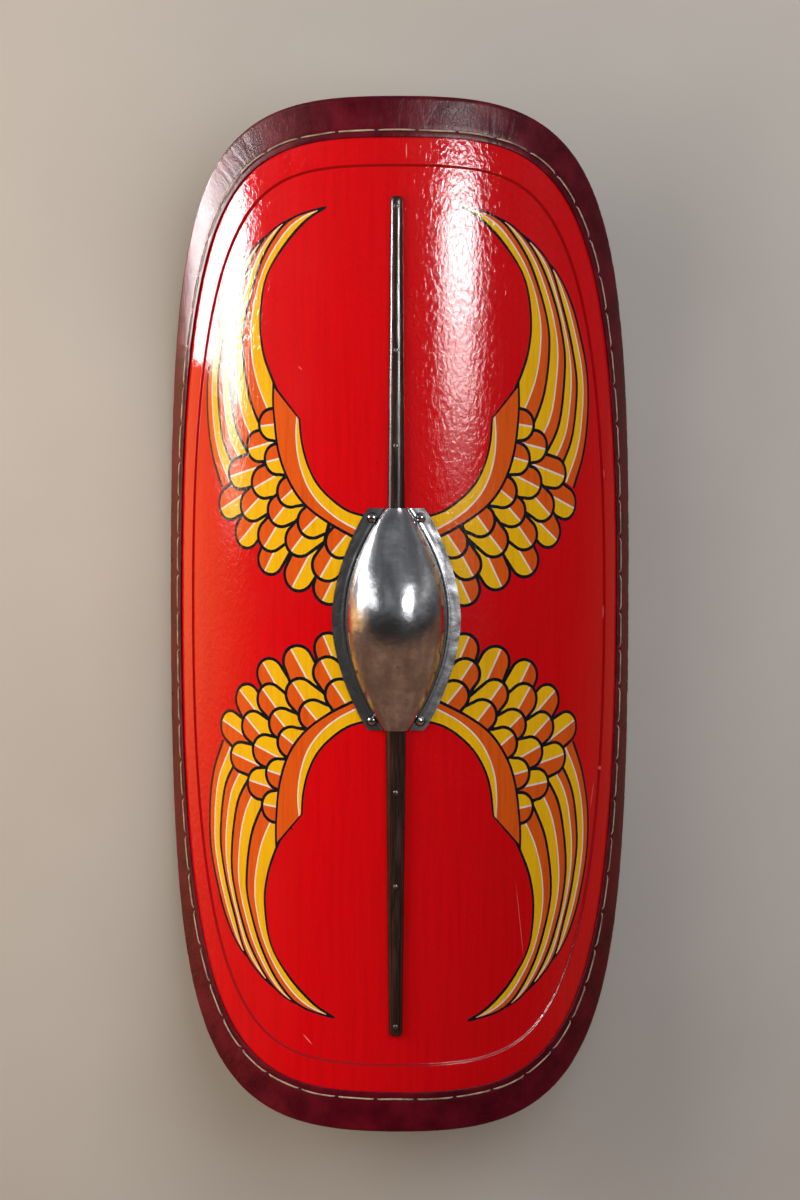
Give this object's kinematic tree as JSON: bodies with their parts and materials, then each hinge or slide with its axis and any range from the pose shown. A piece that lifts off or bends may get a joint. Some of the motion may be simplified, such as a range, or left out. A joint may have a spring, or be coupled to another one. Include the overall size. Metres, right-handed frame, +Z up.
{
  "type": "roman scutum shield",
  "caption": "Tall curved oval Roman shield with a painted wooden board, stitched leather rim, wooden spine, steel spindle boss and a grip bar behind it.",
  "frame": {"origin": "on the surface the shield lies on, under the middle of its length and width", "axes": "+Z up, out of the painted face at the crown; +Y along the shield's length to its upper end; +X across it"},
  "size_m": [0.5652, 1.2, 0.2748],
  "materials": {
    "painted_board": "gloss red paint and varnish over canvas-faced board",
    "rim_leather": "waxed maroon leather, semi-gloss",
    "thread": "waxed linen cord",
    "spine_wood": "dark stained and varnished wood",
    "boss_steel": "hand polished sheet steel",
    "rivet_steel": "polished steel rivet",
    "nail_iron": "dark iron nail",
    "grip_wood": "oiled wood"
  },
  "bodies": {
    "root": {"board": "painted_board", "rim_leather": "rim_leather", "rim_thread_front": "thread", "rim_thread_back": "thread", "spine_upper": "spine_wood", "spine_lower": "spine_wood", "spine_nail_1": "nail_iron", "spine_nail_2": "nail_iron", "spine_nail_3": "nail_iron", "spine_nail_4": "nail_iron", "spine_nail_5": "nail_iron", "spine_nail_6": "nail_iron", "boss": "boss_steel", "boss_rivet_1": "rivet_steel", "boss_rivet_2": "rivet_steel", "boss_rivet_3": "rivet_steel", "boss_rivet_4": "rivet_steel", "grip": "grip_wood", "grip_nail_1": "nail_iron", "grip_nail_2": "nail_iron", "grip_nail_3": "nail_iron", "grip_nail_4": "nail_iron"}
  },
  "joints": []
}
